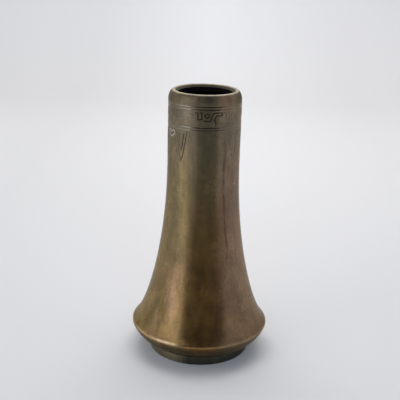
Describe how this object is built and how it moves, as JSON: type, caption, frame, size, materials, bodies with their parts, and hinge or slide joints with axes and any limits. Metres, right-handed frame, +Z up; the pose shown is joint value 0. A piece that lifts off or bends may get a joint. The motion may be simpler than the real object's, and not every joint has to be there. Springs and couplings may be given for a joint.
{
  "type": "flower vase",
  "caption": "Cast bronze flower vase with a straight neck sweeping out to a low turned-under shoulder, on a foot ring, with silver wire inlay round the neck.",
  "frame": {"origin": "centre of the foot ring's bottom face, where the vase stands", "axes": "+Z up along the vase's turning axis; -Y towards the side that faces the camera in the picture; +X to the right in the picture"},
  "size_m": [0.1134, 0.1134, 0.22],
  "materials": {
    "body_bronze": "patinated cast bronze, waxed to a soft sheen",
    "foot_bronze": "patinated bronze, darker and duller than the body",
    "plate_bronze": "dull patinated bronze sheet",
    "silver_inlay": "tarnished silver wire, hammered in and smoothed flush"
  },
  "bodies": {
    "root": {"vase_body": "body_bronze", "foot_ring": "foot_bronze", "base_plate": "plate_bronze", "border_wire_1": "silver_inlay", "border_wire_2": "silver_inlay", "border_wire_3": "silver_inlay", "border_wire_4": "silver_inlay", "crest_wire_1": "silver_inlay", "crest_wire_2": "silver_inlay", "crest_wire_3": "silver_inlay", "crest_wire_4": "silver_inlay", "crest_wire_5": "silver_inlay", "crest_wire_6": "silver_inlay", "crest_wire_7": "silver_inlay", "crest_wire_8": "silver_inlay", "eye_wire_1": "silver_inlay", "eye_wire_2": "silver_inlay", "eye_wire_3": "silver_inlay", "eye_wire_4": "silver_inlay", "eye_wire_5": "silver_inlay", "eye_wire_6": "silver_inlay", "eye_wire_7": "silver_inlay", "eye_wire_8": "silver_inlay", "dragon_wire_1": "silver_inlay", "dragon_wire_2": "silver_inlay", "dragon_wire_3": "silver_inlay", "dragon_wire_4": "silver_inlay", "dragon_wire_5": "silver_inlay", "dragon_wire_6": "silver_inlay", "dragon_wire_7": "silver_inlay", "dragon_wire_8": "silver_inlay", "blade_outer_wire_1": "silver_inlay", "blade_outer_wire_2": "silver_inlay", "blade_outer_wire_3": "silver_inlay", "blade_outer_wire_4": "silver_inlay", "blade_outer_wire_5": "silver_inlay", "blade_outer_wire_6": "silver_inlay", "blade_outer_wire_7": "silver_inlay", "blade_outer_wire_8": "silver_inlay", "blade_inner_wire_1": "silver_inlay", "blade_inner_wire_2": "silver_inlay", "blade_inner_wire_3": "silver_inlay", "blade_inner_wire_4": "silver_inlay", "blade_inner_wire_5": "silver_inlay", "blade_inner_wire_6": "silver_inlay", "blade_inner_wire_7": "silver_inlay", "blade_inner_wire_8": "silver_inlay", "drop_wire_1": "silver_inlay", "drop_wire_2": "silver_inlay", "drop_wire_3": "silver_inlay", "drop_wire_4": "silver_inlay", "drop_wire_5": "silver_inlay", "drop_wire_6": "silver_inlay", "drop_wire_7": "silver_inlay", "drop_wire_8": "silver_inlay"}
  },
  "joints": []
}
